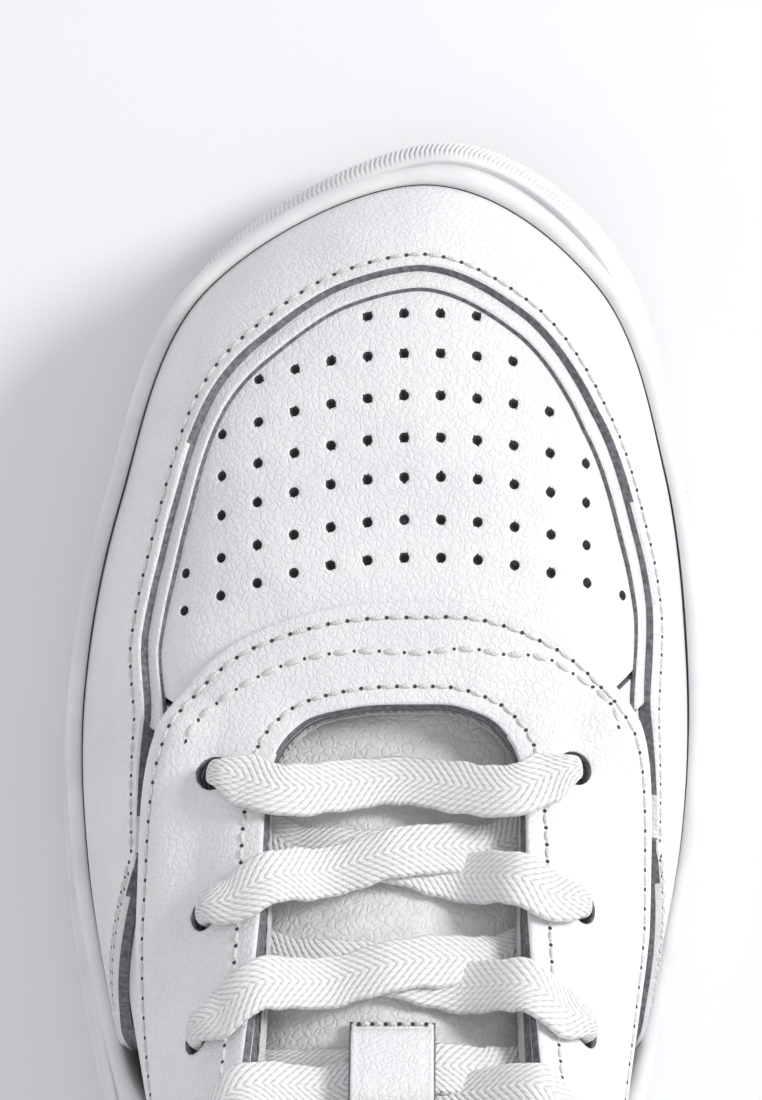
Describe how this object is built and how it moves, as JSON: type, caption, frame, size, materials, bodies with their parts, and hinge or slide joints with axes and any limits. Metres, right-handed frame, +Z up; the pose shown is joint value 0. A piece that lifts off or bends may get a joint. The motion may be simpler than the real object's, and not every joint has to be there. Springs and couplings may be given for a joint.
{
  "type": "basketball high top",
  "caption": "Left lace-up high-top basketball shoe with a cupsole, overlaid leather upper, padded collar and tongue, and a flat lace tied in a bow.",
  "frame": {"origin": "on the ground under the middle of the sole", "axes": "+Z up, +Y to the toe, +X to the inner (medial) side of this left shoe"},
  "size_m": [0.1134, 0.302, 0.1765],
  "materials": {
    "leather": "white pebbled grain, soft sheen",
    "edge_suede": "grey suede edge trim",
    "lining": "matte knitted textile",
    "foam": "soft open foam",
    "cup_rubber": "matte white",
    "tread_rubber": "matte white",
    "board": "stitched fibre cloth",
    "sock": "matte textile over foam",
    "stiffener": "moulded sheet",
    "cotton": "flat braided cotton",
    "clear_plastic": "milky shrink film"
  },
  "bodies": {
    "upper": {"outsole": "tread_rubber", "cupsole": "cup_rubber", "midsole_foam": "foam", "strobel_board": "board", "vamp": "leather", "toe_trim": "edge_suede", "mudguard": "leather", "toe_puff": "stiffener", "vamp_lining": "lining", "quarter_lateral": "leather", "quarter_medial": "leather", "quarter_lining_lateral": "lining", "quarter_lining_medial": "lining", "eyestay": "leather", "heel_overlay": "leather", "backstay": "leather", "collar_panel_lateral": "leather", "collar_panel_medial": "leather", "heel_counter": "stiffener", "collar_foam": "foam", "collar_lining": "lining", "tongue_leather": "leather", "tongue_foam": "foam", "tongue_lining": "lining", "lace": "cotton", "lace_end_lateral": "cotton", "lace_end_medial": "cotton", "aglet_lateral": "clear_plastic", "aglet_medial": "clear_plastic", "tongue_keeper": "leather", "heel_tab": "leather"},
    "tongue_top": {"tongue_top_leather": "leather", "tongue_top_foam": "foam", "tongue_top_lining": "lining"},
    "insole": {"sockliner": "sock"}
  },
  "joints": [
    {"name": "tongue_fold", "type": "hinge", "parent": "upper", "child": "tongue_top", "pos_m": [0, -0.0447, 0.1642], "axis": [-1, 0, 0], "range_deg": [-3, 35], "stiffness_Nm_per_rad": 0.06},
    {"name": "insole_lift", "type": "hinge", "parent": "upper", "child": "insole", "pos_m": [0.004, 0.1288, 0.024], "axis": [-1, 0, 0], "range_deg": [0, 6]}
  ]
}
